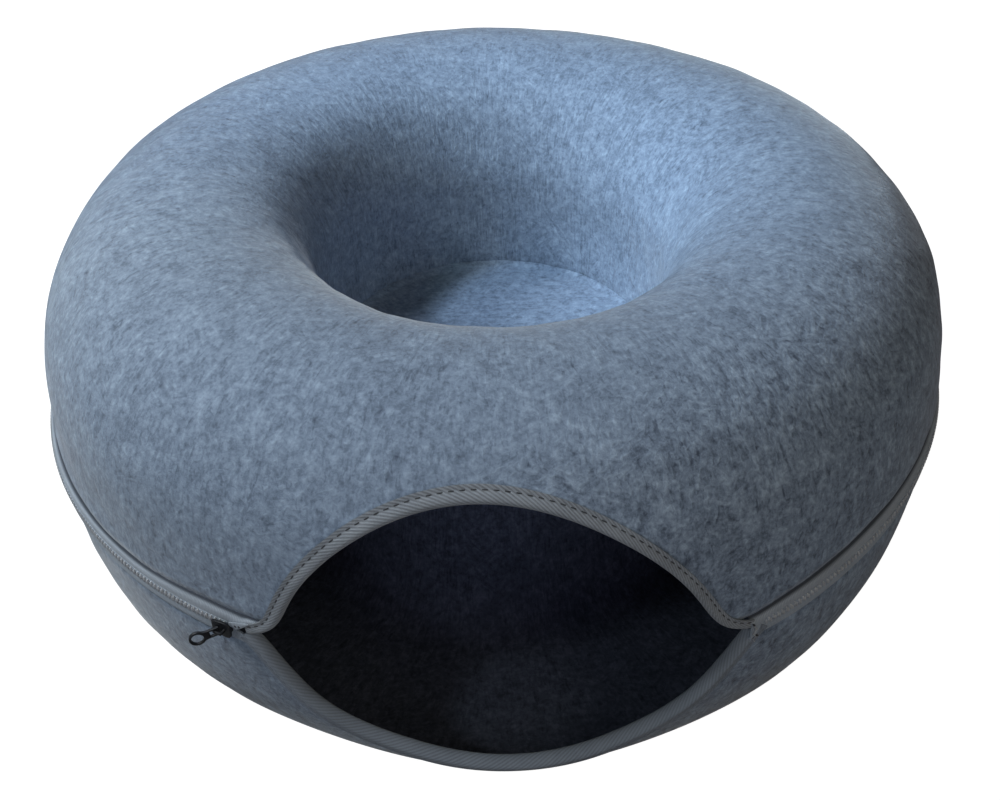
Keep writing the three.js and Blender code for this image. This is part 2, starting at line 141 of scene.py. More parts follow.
def place(angle, radius, height):
    """Points of the bed at angles, even radii and even heights, with the soft spots added."""
    angle, radius, height = np.broadcast_arrays(angle, radius, height)
    outer = smoothstep(radius, *OUTER_WALL)
    well = 1 - smoothstep(radius, *WELL_WALL)
    out = np.zeros(angle.shape)
    up = np.zeros(angle.shape)
    for spot in SOFT_SPOTS:
        turn = (angle - spot.angle + 180) % 360 - 180
        share = np.exp(-((turn / spot.spread) ** 2) - ((height - spot.height) / spot.reach) ** 2)
        on_crown = spot.height > CROWN
        out += spot.out * share * (well if on_crown else outer)
        up += spot.up * share * (1 if on_crown else outer)
    turned = np.radians(angle)
    return np.stack(
        [
            AXIS.x + (radius + out) * np.sin(turned),
            AXIS.y - (radius + out) * np.cos(turned),
            height + up,
        ],
        axis=-1,
    )


def hang_at(angle):
    """Drop of the upper felt's edge, and width of the crevice under it, at angles round the ring."""
    table = np.transpose(HANGS)
    return [np.interp(np.mod(angle, 360), table[0], row) for row in table[1:]]


def polar(points):
    """Angle and radius of points round the ring's axis."""
    side = points[:, 0] - AXIS.x
    ahead = AXIS.y - points[:, 1]
    return np.degrees(np.arctan2(side, ahead)), np.hypot(side, ahead)


def smooth_line(rows, per_span=40):
    """A smooth line through rows of two numbers, with the length run up to each of its points."""
    points = np.array(rows, float)
    points = np.vstack([2 * points[0] - points[1], points, 2 * points[-1] - points[-2]])
    share = np.linspace(0, 1, per_span, endpoint=False)[:, None]
    line = []
    for before, here, there, after in zip(points, points[1:], points[2:], points[3:]):
        back, span, on = (
            math.sqrt(np.linalg.norm(b - a)) for a, b in ((before, here), (here, there), (there, after))
        )
        leave = (here - before) / back - (there - before) / (back + span) + (there - here) / span
        arrive = (there - here) / span - (after - here) / (span + on) + (after - there) / on
        leave, arrive = leave * span, arrive * span
        square, cube = share**2, share**3
        line.append(
            (2 * cube - 3 * square + 1) * here
            + (cube - 2 * square + share) * leave
            + (3 * square - 2 * cube) * there
            + (cube - square) * arrive
        )
    line = np.vstack([*line, points[-2]])
    run = np.concatenate([[0], np.cumsum(np.linalg.norm(np.diff(line, axis=0), axis=1))])
    return run, line


class Half:
    """One moulded half-ring; side is +1 for the upper half and -1 for the lower one."""

    def __init__(self, rows, side, arch):
        self.side = side
        self.arch = arch
        self.run, self.line = smooth_line(rows)
        self.length = self.run[-1]

    def on_face(self, distance):
        return [np.interp(distance, self.run, self.line[:, i]) for i in (0, 1)]

    def skin(self, distance, depth):
        """Radius and height at a distance from the zip along the visible face, at a depth under it."""
        probe = 0.0006
        on = np.clip(distance, 0, self.length)
        radius, height = self.on_face(on)
        near = self.on_face(np.clip(on - probe, 0, self.length))
        far = self.on_face(np.clip(on + probe, 0, self.length))
        along_radius, along_height = far[0] - near[0], far[1] - near[1]
        span = np.hypot(along_radius, along_height)
        along_radius, along_height = along_radius / span, along_height / span
        beyond = distance - on
        return (
            radius + along_radius * beyond - self.side * along_height * depth,
            np.maximum(0, height + along_height * beyond) + self.side * along_radius * depth,
        )

    def opening_edge(self, t):
        """Angle and distance of the opening's edge; t runs from 0 at the right-hand corner to 180."""
        arch = self.arch
        sine, cosine = np.sin(np.radians(t)), np.cos(np.radians(t))
        rise = arch.reach * np.abs(sine) ** arch.power
        right = arch.right_flare * np.exp(-rise / arch.right_fade)
        left = -arch.left_flare * np.exp(-rise / arch.left_fade)
        sweep = np.where(cosine > 0, right, left) * np.minimum(1, np.abs(cosine) / TOP_SHARE)
        return arch.half_angle * cosine + arch.lean * sine + sweep, rise - ZIP_BAND / 2


upper_half = Half(UPPER_FACE, 1, UPPER_ARCH)
lower_half = Half(LOWER_FACE, -1, LOWER_ARCH)


# Mesh tools

MERGE_WITHIN = 1e-6

# Edges that turn by more than these degrees stay sharp
FELT_CREASE = 40
TAPE_CREASE = 50
THREAD_CREASE = 70
CAST_CREASE = 35

# Faces of a short thread, round it and along it
ROD_SIDES = 8
ROD_RINGS = 6


def start_clean():
    if bpy.context.mode != "OBJECT":
        bpy.ops.object.mode_set(mode="OBJECT")
    bpy.ops.object.select_all(action="DESELECT")


def pick(piece):
    start_clean()
    piece.select_set(True)
    bpy.context.view_layer.objects.active = piece


def points_of(piece):
    points = np.zeros(3 * len(piece.data.vertices))
    piece.data.vertices.foreach_get("co", points)
    return points.reshape(-1, 3)


def set_points(piece, points):
    piece.data.vertices.foreach_set("co", np.ravel(points))
    piece.data.update()


def close_up(piece):
    """Merges doubled points and turns every face outwards."""
    pick(piece)
    bpy.ops.object.mode_set(mode="EDIT")
    bpy.ops.mesh.select_all(action="SELECT")
    bpy.ops.mesh.remove_doubles(threshold=MERGE_WITHIN)
    bpy.ops.mesh.normals_make_consistent(inside=False)
    bpy.ops.object.mode_set(mode="OBJECT")


def smooth(piece, crease):
    pick(piece)
    bpy.ops.object.shade_smooth_by_angle(angle=math.radians(crease))


def apply_modifier(piece, kind, **settings):
    modifier = piece.modifiers.new(kind.lower(), kind)
    for key, value in settings.items():
        setattr(modifier, key, value)
    pick(piece)
    bpy.ops.object.modifier_apply(modifier=modifier.name)


def spun(name, section, steps):
    """A closed section of radius and height, spun once round the ring's axis."""
    start_clean()
    bpy.ops.mesh.primitive_circle_add(vertices=len(section), radius=DISC_RADIUS)
    piece = bpy.context.object
    piece.name = piece.data.name = name
    pick(piece)
    bpy.ops.object.transform_apply()
    set_points(piece, [(AXIS.x, AXIS.y - radius, height) for radius, height in section])
    bpy.ops.object.mode_set(mode="EDIT")
    bpy.ops.mesh.select_all(action="SELECT")
    bpy.ops.mesh.spin(steps=steps, angle=math.tau, center=(AXIS.x, AXIS.y, 0), axis=(0, 0, 1))
    bpy.ops.object.mode_set(mode="OBJECT")
    close_up(piece)
    return piece


def loft(name, rows, along=None, across=None):
    """A skin through rows of closed sections, capped at both ends, with a map in metres along and across."""
    count, size = rows.shape[:2]
    here = np.arange(size)
    onward = (here + 1) % size
    base = size * np.arange(count - 1)[:, None]
    quads = np.stack([base + here, base + onward, base + size + onward, base + size + here], axis=-1)
    caps = [list(here), list(here + size * (count - 1))]
    mesh = bpy.data.meshes.new(name)
    mesh.from_pydata(rows.reshape(-1, 3).tolist(), [], quads.reshape(-1, 4).tolist() + caps)
    if along is not None:
        corners = np.zeros((len(mesh.loops), 2))
        u = np.stack([along[:-1], along[:-1], along[1:], along[1:]], axis=-1)[:, None, :]
        v = np.stack([across[:-1], across[1:], across[1:], across[:-1]], axis=-1)[None, :, :]
        u, v = np.broadcast_arrays(u, v)
        corners[: u.size] = np.stack([u.ravel(), v.ravel()], axis=-1)
        mesh.uv_layers.new(name="weave").data.foreach_set("uv", corners.ravel())
    piece = bpy.data.objects.new(name, mesh)
    bpy.context.scene.collection.objects.link(piece)
    close_up(piece)
    return piece


def capsule(name, length, radius):
    """A short round-ended rod along Z, to be copied many times."""
    start_clean()
    bpy.ops.mesh.primitive_uv_sphere_add(segments=ROD_SIDES, ring_count=ROD_RINGS, radius=radius)
    rod = bpy.context.object
    rod.name = rod.data.name = name
    points = points_of(rod)
    ends = np.abs(points[:, 2]) > radius / 10
    points[ends, 2] += np.sign(points[ends, 2]) * (length / 2 - radius)
    set_points(rod, points)
    return rod


def stamped(name, model, places):
    """Copies of a small model at 4x4 places, joined into one mesh; the model itself is removed."""
    points = np.hstack([points_of(model), np.ones((len(model.data.vertices), 1))])
    faces = [list(face.vertices) for face in model.data.polygons]
    copies = [points @ np.array(spot).T for spot in places]
    joined = [[v + i * len(points) for v in face] for i in range(len(copies)) for face in faces]
    mesh = bpy.data.meshes.new(name)
    mesh.from_pydata(np.vstack(copies)[:, :3].tolist(), [], joined)
    bpy.data.objects.remove(model)
    piece = bpy.data.objects.new(name, mesh)
    bpy.context.scene.collection.objects.link(piece)
    smooth(piece, THREAD_CREASE)
    return piece


def frame_at(origin, along, out):
    """A 4x4 place whose Z runs along a line and whose X points out of the surface."""
    z = Vector(along).normalized()
    y = z.cross(Vector(out)).normalized()
    x = y.cross(z)
    return Matrix.Translation(Vector(origin)) @ Matrix((x, y, z)).transposed().to_4x4()


# Finishes: node tools


def add(tree, kind, inputs=None, **settings):
    node = tree.nodes.new("ShaderNode" + kind)
    for key, value in settings.items():
        setattr(node, key, value)
    for socket, value in (inputs or {}).items():
        if isinstance(value, bpy.types.NodeSocket):
            tree.links.new(value, node.inputs[socket])
        else:
            node.inputs[socket].default_value = value
    return node


def calculate(tree, operation, *values):
    return add(tree, "Math", dict(enumerate(values)), operation=operation).outputs[0]


# Cloudy patterns: how fine they are, with their detail, roughness and distortion
Pattern = namedtuple("Pattern", "scale detail roughness distortion", defaults=(0.0,))


def noise(tree, where, pattern):
    settings = {"Vector": where}
    for socket, value in pattern._asdict().items():
        settings[socket.title()] = value
    return add(tree, "TexNoise", settings).outputs["Fac"]


def weighed(tree, terms, base):
    """A base value plus each varying value times its weight."""
    total = base
    for value, weight in terms:
        total = calculate(tree, "MULTIPLY_ADD", value, weight, total)
    return total


def summed(tree, layers, shares, base):
    """A base value plus each named layer times its share."""
    return weighed(tree, [(layers[name], share) for name, share in shares.items()], base)


def graded(tree, value, grade):
    """A varying value times the grade's gain, plus its base."""
    gain, base = grade
    return weighed(tree, [(value, gain)], base)


def bed_place(tree):
    return add(tree, "TexCoord").outputs["Object"]


def blended(tree, share, first, second):
    """Value between two values, by a share that is held between 0 and 1."""
    mix = add(tree, "Mix", {0: share, 2: first, 3: second}, data_type="FLOAT", clamp_factor=True)
    return mix.outputs[0]


def mixed(tree, share, first, second):
    """Colour between two colours, by a share that is held between 0 and 1."""
    mix = add(tree, "Mix", {0: share, 6: first, 7: second}, data_type="RGBA", clamp_factor=True)
    return mix.outputs[2]


def effect(name, inputs, outputs):
    tree = bpy.data.node_groups.new(name, "ShaderNodeTree")
    for socket, kind in inputs:
        tree.interface.new_socket(socket, in_out="INPUT", socket_type="NodeSocket" + kind)
    for socket, kind in outputs:
        tree.interface.new_socket(socket, in_out="OUTPUT", socket_type="NodeSocket" + kind)
    return tree, tree.nodes.new("NodeGroupInput").outputs, tree.nodes.new("NodeGroupOutput")


def give(tree, result, values):
    for socket, value in values.items():
        tree.links.new(value, result.inputs[socket])


# Felt: three lots of fibres, by the degrees that they lean from the line between the zip and the well
FIBRE_LEANS = {"grain": 0, "grain_left": -52, "grain_right": 52}

STREAKS = Pattern(430, 3, 0.6, 0.4)
WHORLS = Pattern(60, 2, 0.5)
COMBED = Pattern(45, 2, 0.5)
HAIRS = Pattern(1400, 2, 0.5)
FLECKS = Pattern(420, 1, 0.5, 1.2)
GRIT = Pattern(480, 2, 0.6, 0.6)
MOTTLES = Pattern(200, 4, 0.65)
PATCHES = Pattern(70, 3, 0.6)
CLOUDS = Pattern(14, 2, 0.5)

# Gain and base that give these patterns a harder edge
WHORL_GRADE = (7.0, -3.0)
COMBED_GRADE = (6.0, -2.2)
FLECK_GRADE = (6.0, -3.7)

FELT_TONE = {"streaks": 1.1, "hairs": 0.1, "grit": 0.9, "mottles": 1.1, "patches": 0.5, "clouds": 0.3}
FLECK_TONE = -0.3
FELT_RELIEF = {"streaks": 0.5, "grit": 0.4, "mottles": 0.5}
FELT_ROUGHNESS = (-0.2, 1.0)
SHADE_SWING_WAY = (1.0, -0.8, -1.5)  # the felt's tone swings harder this way, low on the right: painted shading of its relief where light grazes it
SHADE_SWING_FROM, SHADE_SWING_TO = -0.14, -0.05
SHADE_SWING_GAIN = 1.4


def felt_fibres():
    """Pressed fibres that lean three ways in patches, with mottles, dark flecks and broad clouds of shade."""
    tree, given, result = effect(
        "felt_fibres",
        [("Deep", "Color"), ("Body", "Color"), ("Bright", "Color"), ("Contrast", "Float")],
        [("Color", "Color"), ("Height", "Float"), ("Roughness", "Float")],
    )
    lies = [add(tree, "Attribute", attribute_name=name).outputs["Vector"] for name in FIBRE_LEANS]
    where = bed_place(tree)
    straight, left, right = (noise(tree, lie, STREAKS) for lie in lies)
    whorls = graded(tree, noise(tree, where, WHORLS), WHORL_GRADE)
    combed = graded(tree, noise(tree, where, COMBED), COMBED_GRADE)
    flecks = graded(tree, noise(tree, lies[0], FLECKS), FLECK_GRADE)
    flecks = calculate(tree, "MINIMUM", calculate(tree, "MAXIMUM", flecks, 0.0), 1.0)
    layers = {
        "streaks": blended(tree, combed, blended(tree, whorls, left, right), straight),
        "hairs": noise(tree, lies[0], HAIRS),
        "grit": noise(tree, where, GRIT),
        "mottles": noise(tree, where, MOTTLES),
        "patches": noise(tree, where, PATCHES),
        "clouds": noise(tree, where, CLOUDS),
    }
    swing = summed(tree, layers, FELT_TONE, -sum(FELT_TONE.values()) / 2)
    swing = weighed(tree, [(flecks, FLECK_TONE)], swing)
    # Painted shade: the tone swings up to 1.4 times harder low on the right, standing in for the relief
    # shading where light grazes the felt there.
    aside = add(tree, "VectorMath", {0: where, 1: SHADE_SWING_WAY}, operation="DOT_PRODUCT").outputs["Value"]
    grazing_shade = add(
        tree,
        "MapRange",
        {
            "Value": aside,
            "From Min": SHADE_SWING_FROM,
            "From Max": SHADE_SWING_TO,
            "To Min": 1.0,
            "To Max": SHADE_SWING_GAIN,
        },
        interpolation_type="SMOOTHSTEP",
    )
    swing = calculate(tree, "MULTIPLY", swing, grazing_shade.outputs[0])
    tone = calculate(tree, "MULTIPLY_ADD", swing, given["Contrast"], 0.5)
    dark_half = mixed(tree, calculate(tree, "MULTIPLY", tone, 2.0), given["Deep"], given["Body"])
    bright_share = calculate(tree, "MULTIPLY_ADD", tone, 2.0, -1.0)
    give(
        tree,
        result,
        {
            "Color": mixed(tree, bright_share, dark_half, given["Bright"]),
            "Height": summed(tree, layers, FELT_RELIEF, 0.0),
            "Roughness": graded(tree, layers["mottles"], FELT_ROUGHNESS),
        },
    )
    return tree


# Woven tapes

YARN_SLANT = -0.6  # of the fine yarns that cross the ribs
FUZZ = Pattern(1300, 3, 0.6)
WEAR = Pattern(70, 3, 0.55)
TAPE_TONE = {"ribs": 0.55, "yarns": 0.2, "fuzz": 0.5, "wear": 0.5}
TAPE_TONE_BASE = -0.4
TAPE_RELIEF = {"ribs": 0.6, "yarns": 0.25, "fuzz": 0.3}
TAPE_ROUGHNESS = (0.2, 0.72)


def woven_ribs():
    """Slanting ribs of a woven tape, crossed by finer yarns and a little fuzz."""
    tree, given, result = effect(
        "woven_ribs",
        [
            ("Yarn", "Color"),
            ("Groove", "Color"),
            ("Pitch", "Float"),
            ("Slant", "Float"),
            ("Fine pitch", "Float"),
        ],
        [("Color", "Color"), ("Height", "Float"), ("Roughness", "Float")],
    )
    weave = add(tree, "SeparateXYZ", {0: add(tree, "UVMap", uv_map="weave").outputs["UV"]}).outputs
    where = bed_place(tree)

    def ridges(slant, pitch):
        line = calculate(tree, "MULTIPLY_ADD", weave["Y"], slant, weave["X"])
        turn = calculate(tree, "DIVIDE", calculate(tree, "MULTIPLY", line, math.tau), pitch)
        return calculate(tree, "MULTIPLY_ADD", calculate(tree, "SINE", turn), 0.5, 0.5)

    layers = {
        "ribs": ridges(given["Slant"], given["Pitch"]),
        "yarns": ridges(YARN_SLANT, given["Fine pitch"]),
        "fuzz": noise(tree, where, FUZZ),
        "wear": noise(tree, where, WEAR),
    }
    shade = summed(tree, layers, TAPE_TONE, TAPE_TONE_BASE)
    give(
        tree,
        result,
        {
            "Color": mixed(tree, shade, given["Groove"], given["Yarn"]),
            "Height": summed(tree, layers, TAPE_RELIEF, 0.0),
            "Roughness": graded(tree, layers["fuzz"], TAPE_ROUGHNESS),
        },
    )
    return tree


# Materials


def finish(name, **plain):
    """A material with a shader whose plain values are set on its own sockets."""
    material = bpy.data.materials.new(name)
    material.use_nodes = True
    shader = material.node_tree.nodes["Principled BSDF"]
    for socket, value in plain.items():
        shader.inputs[socket.replace("_", " ")].default_value = value
    return material, material.node_tree, shader


def dress(material_parts, group, values, depth, strength):
    """Feeds a shared effect's colour, roughness and relief into a material."""
    material, tree, shader = material_parts
    look = tree.nodes.new("ShaderNodeGroup")
    look.node_tree = group
    for socket, value in values.items():
        look.inputs[socket].default_value = value
    relief = add(tree, "Bump", {"Height": look.outputs["Height"], "Strength": strength, "Distance": depth})
    tree.links.new(look.outputs["Color"], shader.inputs["Base Color"])
    tree.links.new(look.outputs["Roughness"], shader.inputs["Roughness"])
    tree.links.new(relief.outputs["Normal"], shader.inputs["Normal"])
    return material


FELT_FIBRES = felt_fibres()
WOVEN_RIBS = woven_ribs()

felt_outside = dress(
    finish("felt_outside", Sheen_Weight=0.4, Sheen_Roughness=0.4, Specular_IOR_Level=0.2),
    FELT_FIBRES,
    {
        "Deep": (0.067, 0.091, 0.136, 1),
        "Body": (0.183, 0.243, 0.335, 1),
        "Bright": (0.330, 0.427, 0.558, 1),
        "Contrast": 0.8,
    },
    depth=0.0009,
    strength=0.8,
)
# Painted shade: the same felt, made darker for the faces that look into the tunnel, stands in for the shade
# inside it.
felt_painted_shade = dress(
    finish("felt_painted_shade", Sheen_Weight=0.05, Specular_IOR_Level=0.1),
    FELT_FIBRES,
    {
        "Deep": (0.024, 0.031, 0.052, 1),
        "Body": (0.050, 0.062, 0.100, 1),
        "Bright": (0.090, 0.107, 0.165, 1),
        "Contrast": 0.9,
    },
    depth=0.0006,
    strength=0.4,
)

TWILL_RIBS = {"Pitch": 0.0030, "Slant": 1.7, "Fine pitch": 0.0007}
ZIP_RIBS = {"Pitch": 0.0009, "Slant": 0.0, "Fine pitch": 0.0007}
# Painted shade: the weave darkens towards this colour where the tape lies deep in the crevice under the
# felt's edge.
CREVICE_SHADE = (0.050, 0.062, 0.083, 1)
CREVICE_GRADE = (1.7, -0.15)  # how soon the painted shade covers the weave


def binding_twill(name, yarn, groove, depth, strength):
    parts = finish(name, Sheen_Weight=0.15, Specular_IOR_Level=0.3)
    return dress(parts, WOVEN_RIBS, {"Yarn": yarn, "Groove": groove, **TWILL_RIBS}, depth, strength)


def tape_weave(name, yarn, groove):
    """Fine weave, darkened with painted shade where the tape lies deep in the crevice beside the felt."""
    parts = finish(name, Sheen_Weight=0.1, Specular_IOR_Level=0.3)
    values = {"Yarn": yarn, "Groove": groove, **ZIP_RIBS}
    material = dress(parts, WOVEN_RIBS, values, depth=0.0002, strength=0.5)
    tree = material.node_tree
    base = tree.nodes["Principled BSDF"].inputs["Base Color"]
    weave = base.links[0].from_socket
    crevice = add(tree, "Attribute", attribute_name="crevice").outputs["Fac"]
    tree.links.new(mixed(tree, graded(tree, crevice, CREVICE_GRADE), weave, CREVICE_SHADE), base)
    return material


def plain_finish(parts, colour, roughness, relief=None):
    """Feeds a varying colour and roughness, and a relief where there is one, into a material."""
    material, tree, shader = parts
    tree.links.new(colour, shader.inputs["Base Color"])
    tree.links.new(roughness, shader.inputs["Roughness"])
    if relief:
        tree.links.new(relief.outputs["Normal"], shader.inputs["Normal"])
    return material


NYLON_MOTTLE = Pattern(240, 3, 0.6)
NYLON_DARK = (0.32, 0.35, 0.39, 1)
NYLON_LIGHT = (0.50, 0.53, 0.57, 1)
NYLON_ROUGHNESS = (0.3, 0.28)
RUB = Pattern(900, 4, 0.65)
RUBBED_GRADE = (9.0, -4.6)
ENAMEL_BLACK = (0.005, 0.006, 0.009, 1)
ENAMEL_RUBBED = (0.040, 0.044, 0.052, 1)
ENAMEL_ROUGHNESS = (0.3, 0.25)
PLY = Pattern(1600, 2, 0.5)
THREAD_ROUGHNESS = (0.2, 0.65)


def coil_nylon():
    parts = finish("coil_nylon", Specular_IOR_Level=0.5, Coat_Weight=0.1)
    tree = parts[1]
    mottle = noise(tree, bed_place(tree), NYLON_MOTTLE)
    colour = mixed(tree, mottle, NYLON_DARK, NYLON_LIGHT)
    return plain_finish(parts, colour, graded(tree, mottle, NYLON_ROUGHNESS))


def black_metal():
    """Black enamel on cast zinc, rubbed a little brighter and smoother on its edges."""
    parts = finish("black_enamel", Metallic=0.0, Specular_IOR_Level=0.3)
    tree = parts[1]
    edge = add(tree, "NewGeometry").outputs["Pointiness"]
    rub = noise(tree, bed_place(tree), RUB)
    rubbed = calculate(tree, "MULTIPLY", graded(tree, edge, RUBBED_GRADE), rub)
    relief = add(tree, "Bump", {"Height": rub, "Strength": 0.25, "Distance": 0.0001})
    colour = mixed(tree, rubbed, ENAMEL_BLACK, ENAMEL_RUBBED)
    return plain_finish(parts, colour, graded(tree, rub, ENAMEL_ROUGHNESS), relief)


def thread(name, dark, light):
    parts = finish(name, Sheen_Weight=0.1, Specular_IOR_Level=0.3)
    tree = parts[1]
    ply = noise(tree, bed_place(tree), PLY)
    relief = add(tree, "Bump", {"Height": ply, "Strength": 0.4, "Distance": 0.0002})
    colour = mixed(tree, ply, dark, light)
    return plain_finish(parts, colour, graded(tree, ply, THREAD_ROUGHNESS), relief)


upper_twill = binding_twill(
    "binding_twill", (0.310, 0.350, 0.400, 1), (0.120, 0.138, 0.163, 1), depth=0.0003, strength=0.7
)
lower_twill = binding_twill(
    "lower_binding_twill", (0.240, 0.285, 0.345, 1), (0.125, 0.152, 0.192, 1), depth=0.0002, strength=0.5
)
zip_weave = tape_weave("zip_tape_weave", (0.395, 0.455, 0.536, 1), (0.208, 0.243, 0.291, 1))
band_weave = tape_weave("coil_band_weave", (0.370, 0.435, 0.520, 1), (0.200, 0.235, 0.285, 1))
# Painted light: the zip tape's weave made lighter for the lower tape, which faces down and gets less of the
# lamps' light.
lit_lower_weave = tape_weave("lit_lower_tape_weave", (0.400, 0.475, 0.570, 1), (0.205, 0.245, 0.300, 1))
nylon = coil_nylon()
enamel = black_metal()
dark_thread = thread("seam_thread", (0.020, 0.023, 0.029, 1), (0.060, 0.066, 0.076, 1))
grey_thread = thread("tack_thread", (0.24, 0.26, 0.29, 1), (0.44, 0.47, 0.51, 1))
dull_thread = thread("hem_thread", (0.11, 0.135, 0.17, 1), (0.19, 0.225, 0.275, 1))


def fit_out(piece, slot, *materials, stands_for=()):
    """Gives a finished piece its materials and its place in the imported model."""
    for material in materials:
        piece.data.materials.append(material)
    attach(piece, "root")
    if stands_for:
        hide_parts(*stands_for)
    return piece


# Felt

FACE_STEP = 0.0033  # between points along the visible face
FELT_STEPS = 300  # round the ring
ZIP_NOSE = 0.0009  # the felt's edge at the zip is rounded by this much
WELL_NOSE = 0.0011  # and its edge in the middle by this much
NOSE_TURN = np.radians([30, 60, 90, 120, 150])
EDGE_ROLL = {1: 0.0018, -1: 0.0010}  # depth to which the visible face rolls in at the zip, by the half's side
EDGE_REACH = 0.0055  # and the distance from the zip at which the roll starts
EDGE_POINTS = 7
FACE_MARKS = 240  # places along the face to which points are matched
MATCHING_LOTS = 40  # in this many lots, to spare memory
GRAIN_RADIUS = 0.17  # the fibres' pattern keeps this radius all round
GRAIN_DRAW = 0.28  # the pattern is drawn out along the fibres by the inverse of this

# Shallow hand-made waves in the felt: depth, waves round the ring, waves a metre along the face, phase
Wave = namedtuple("Wave", "depth turns rows phase")
WAVES = (
    Wave(0.00015, 7, 6, 0.4),
    Wave(0.00012, 13, 11, 2.1),
    Wave(0.00012, 23, 19, 4.0),
    Wave(0.00010, 41, 37, 1.3),
)
CALM = (30, 48)  # angles between which the waves fade towards the bound opening
CALM_REACH = (0.098, 0.125)  # and distances from the zip

# Tool that cuts the opening: depths of its rings under the felt's face, and how far its two points stand out
# of the zip and behind it
PLUG_STEPS = 60
PLUG_DEPTHS = (-0.020, 0, FELT, 0.025)
PLUG_TIPS = (0.032, -0.042)


def felt_thickness(distance):
    grown = np.clip((distance - SEAM_FLAT) / (SEAM_RAMP - SEAM_FLAT), 0, 1)
    return FELT_AT_SEAM + (FELT - FELT_AT_SEAM) * grown


def shell_section(half):
    """Closed section of a felt half: visible face, rounded end in the middle, back, rounded zip edge."""
    count = round(half.length / FACE_STEP)
    rolled = np.linspace(0, EDGE_REACH, EDGE_POINTS)
    face = np.concatenate([rolled, np.linspace(EDGE_REACH, half.length, count)[1:]])
    edge = EDGE_ROLL[half.side]
    back = np.linspace(half.length, 0, count // 2 + 1)
    distance = [face, half.length + WELL_NOSE * np.sin(NOSE_TURN), back, -ZIP_NOSE * np.sin(NOSE_TURN)]
    depth = [
        edge * np.clip(1 - face / EDGE_REACH, 0, 1) ** 2,
        FELT / 2 * (1 - np.cos(NOSE_TURN)),
        felt_thickness(back),
        edge + (FELT_AT_SEAM - edge) / 2 * (1 + np.cos(NOSE_TURN)),
    ]
    return np.stack(half.skin(np.concatenate(distance), np.concatenate(depth)), axis=-1)


def along_face(half, points):
    """Distance from the zip of the place on the visible face that is nearest to each point."""
    radius = polar(points)[1]
    mark = np.linspace(0, half.length, FACE_MARKS)
    mark_radius, mark_height = half.on_face(mark)
    nearest = np.empty(len(points), int)
    for part in np.array_split(np.arange(len(points)), MATCHING_LOTS):
        gap = np.hypot(radius[part, None] - mark_radius, points[part, 2:] - mark_height)
        nearest[part] = gap.argmin(axis=1)
    return mark[nearest]


def ripple(piece, half):
    """Moves the felt along its own normals by the shallow waves, less near the opening."""
    points = points_of(piece)
    normals = np.zeros(points.size)
    piece.data.vertices.foreach_get("normal", normals)
    angle = polar(points)[0]
    distance = along_face(half, points)
    depth = sum(
        wave.depth * np.sin(wave.turns * np.radians(angle) + math.tau * wave.rows * distance + wave.phase)
        for wave in WAVES
    )
    depth = depth * np.maximum(smoothstep(np.abs(angle), *CALM), smoothstep(distance, *CALM_REACH))
    points = points + normals.reshape(-1, 3) * depth[:, None]
    points[:, 2] = np.maximum(points[:, 2], 0)
    set_points(piece, points)


def let_hang(piece, half):
    """Lets the edge of the upper felt hang lower over the zip."""
    points = points_of(piece)
    drop = hang_at(polar(points)[0])[0]
    points[:, 2] -= drop * (1 - smoothstep(along_face(half, points), 0, HANG_REACH))
    set_points(piece, points)


def comb(piece, fibre_lie):
    """Keeps the coordinates of each lot of fibres on the mesh, for the felt's streaks."""
    for name, lean in FIBRE_LEANS.items():
        grain = piece.data.attributes.new(name, "FLOAT_VECTOR", "POINT")
        grain.data.foreach_set("vector", np.ravel(fibre_lie(math.radians(lean))))


def opening_plug():
    """Closed wall square to the felt along the opening's edge, with a point outside and one inside."""
    t = 180 * (np.arange(PLUG_STEPS) + 0.5) / PLUG_STEPS
    loops = []
    for depth in PLUG_DEPTHS:
        rim = []
        for half, order in ((upper_half, t), (lower_half, t[::-1])):
            angle, distance = half.opening_edge(order)
            rim.append(place(angle, *half.skin(distance, depth)))
        loops.append(np.vstack(rim))
    outside, inside = (
        np.tile(place(0, ZIP_RADIUS + reach, ZIP_HEIGHT), (2 * PLUG_STEPS, 1)) for reach in PLUG_TIPS
    )
    return loft("opening_plug", np.stack([outside, *loops, inside]))


def felt_shell(name, half, plug):
    shell = spun(name, shell_section(half), FELT_STEPS)
    points = points_of(shell)
    set_points(shell, place(*polar(points), points[:, 2]))
    ripple(shell, half)
    if half.side > 0:
        let_hang(shell, half)
    apply_modifier(shell, "BOOLEAN", operation="DIFFERENCE", solver="EXACT", object=plug)
    points = points_of(shell)
    turn = np.radians(polar(points)[0])
    distance = along_face(half, points)

    def fibre_lie(lean):
        around = turn + math.tan(lean) * distance / GRAIN_RADIUS
        radius = GRAIN_RADIUS * math.cos(lean)
        drawn = GRAIN_DRAW * distance / math.cos(lean)
        return np.stack([radius * np.cos(around), radius * np.sin(around), drawn], axis=-1)

    comb(shell, fibre_lie)
    smooth(shell, FELT_CREASE)
    return shell


def paint_tunnel_shade(shell):
    """Puts the second material, the felt's painted tunnel shade, on the faces that look into the tunnel."""
    for face in shell.data.polygons:
        flat_out = Vector((face.center.x - AXIS.x, face.center.y - AXIS.y))
        from_core = (flat_out.length - TUNNEL_CORE[0], face.center.z - TUNNEL_CORE[1])
        outwards = face.normal.xy.dot(flat_out.normalized()) * from_core[0] + face.normal.z * from_core[1]
        face.material_index = int(outwards < 0)


plug = opening_plug()
upper_felt = felt_shell("upper_felt", upper_half, plug)
lower_felt = felt_shell("lower_felt", lower_half, plug)
bpy.data.objects.remove(plug)
fit_out(upper_felt, "felt", felt_outside, felt_painted_shade, stands_for=["felt_upper"])
fit_out(lower_felt, "felt", felt_outside, felt_painted_shade, stands_for=["felt_lower"])
paint_tunnel_shade(upper_felt)
paint_tunnel_shade(lower_felt)

# Disc of felt that closes the well

